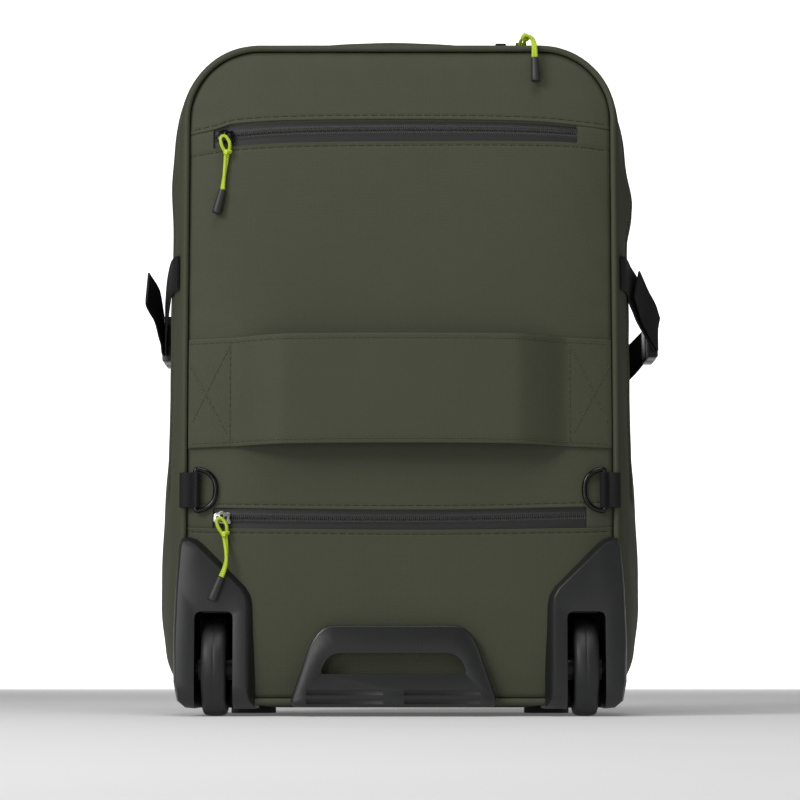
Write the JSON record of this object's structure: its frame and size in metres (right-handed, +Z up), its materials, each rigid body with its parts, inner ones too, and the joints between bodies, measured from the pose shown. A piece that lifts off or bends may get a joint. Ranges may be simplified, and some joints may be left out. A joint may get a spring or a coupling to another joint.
{
  "type": "wheeled backpack",
  "caption": "Soft wheeled cabin backpack with zipped back panel, trolley sleeve, moulded wheel housings, grab handle, D-rings and side straps.",
  "frame": {"origin": "on the floor under the middle of the bag", "axes": "+Z up, -Y the way the back panel and wheels face, +X to the right of someone who looks at the back panel"},
  "size_m": [0.3829, 0.233, 0.5011],
  "materials": {
    "coated_fabric": "matt coated olive fabric",
    "zip_tape": "coated reverse coil zip",
    "pull_cord": "braided neon cord",
    "webbing": "woven black webbing",
    "moulded_plastic": "satin moulded plastic",
    "wheel_tyre": "soft rolling tyre",
    "soft_rubber": "matt moulded rubber",
    "dark_metal": "black plated, glossy",
    "plated_steel": "nickel plated"
  },
  "bodies": {
    "bag": {"bag_base": "coated_fabric", "rear_band": "coated_fabric", "front_band": "coated_fabric", "front_panel": "coated_fabric", "back_panel": "coated_fabric", "piping_back": "coated_fabric", "piping_base": "coated_fabric", "piping_front": "coated_fabric", "trolley_sleeve": "coated_fabric", "top_handle": "coated_fabric", "main_zip": "zip_tape", "upper_zip": "zip_tape", "lower_zip": "zip_tape", "upper_slider": "dark_metal", "main_slider": "dark_metal", "spare_slider": "dark_metal", "lower_slider": "plated_steel", "axle_left": "plated_steel", "axle_right": "plated_steel", "upper_pull_cord": "pull_cord", "upper_pull_tip": "soft_rubber", "lower_pull_cord": "pull_cord", "lower_pull_tip": "soft_rubber", "main_pull_cord": "pull_cord", "main_pull_tip": "soft_rubber", "grab_handle": "moulded_plastic", "wheel_housing_left": "moulded_plastic", "wheel_housing_right": "moulded_plastic", "buckle_male_left": "moulded_plastic", "buckle_male_right": "moulded_plastic", "buckle_female_left": "moulded_plastic", "buckle_female_right": "moulded_plastic", "front_foot_left": "moulded_plastic", "front_foot_right": "moulded_plastic", "ring_tab_left": "webbing", "ring_tab_right": "webbing", "strap_back_left": "webbing", "strap_back_right": "webbing", "strap_front_left": "webbing", "strap_front_right": "webbing", "strap_tail_left": "webbing", "strap_tail_right": "webbing"},
    "wheel_left": {"tyre_left": "wheel_tyre", "wheel_hub_left": "moulded_plastic"},
    "d_ring_left": {"d_ring_left": "dark_metal"},
    "wheel_right": {"tyre_right": "wheel_tyre", "wheel_hub_right": "moulded_plastic"},
    "d_ring_right": {"d_ring_right": "dark_metal"}
  },
  "joints": [
    {"name": "wheel_left_spin", "type": "hinge", "parent": "bag", "child": "wheel_left", "pos_m": [-0.131, -0.0755, 0.0345], "axis": [1, 0, 0], "continuous": true},
    {"name": "d_ring_left_swing", "type": "hinge", "parent": "bag", "child": "d_ring_left", "pos_m": [-0.145, -0.0984, 0.1593], "axis": [0, 0, -1], "range_deg": [0, 120]},
    {"name": "wheel_right_spin", "type": "hinge", "parent": "bag", "child": "wheel_right", "pos_m": [0.131, -0.0755, 0.0345], "axis": [1, 0, 0], "continuous": true},
    {"name": "d_ring_right_swing", "type": "hinge", "parent": "bag", "child": "d_ring_right", "pos_m": [0.145, -0.0984, 0.1593], "axis": [0, 0, 1], "range_deg": [0, 120]}
  ]
}
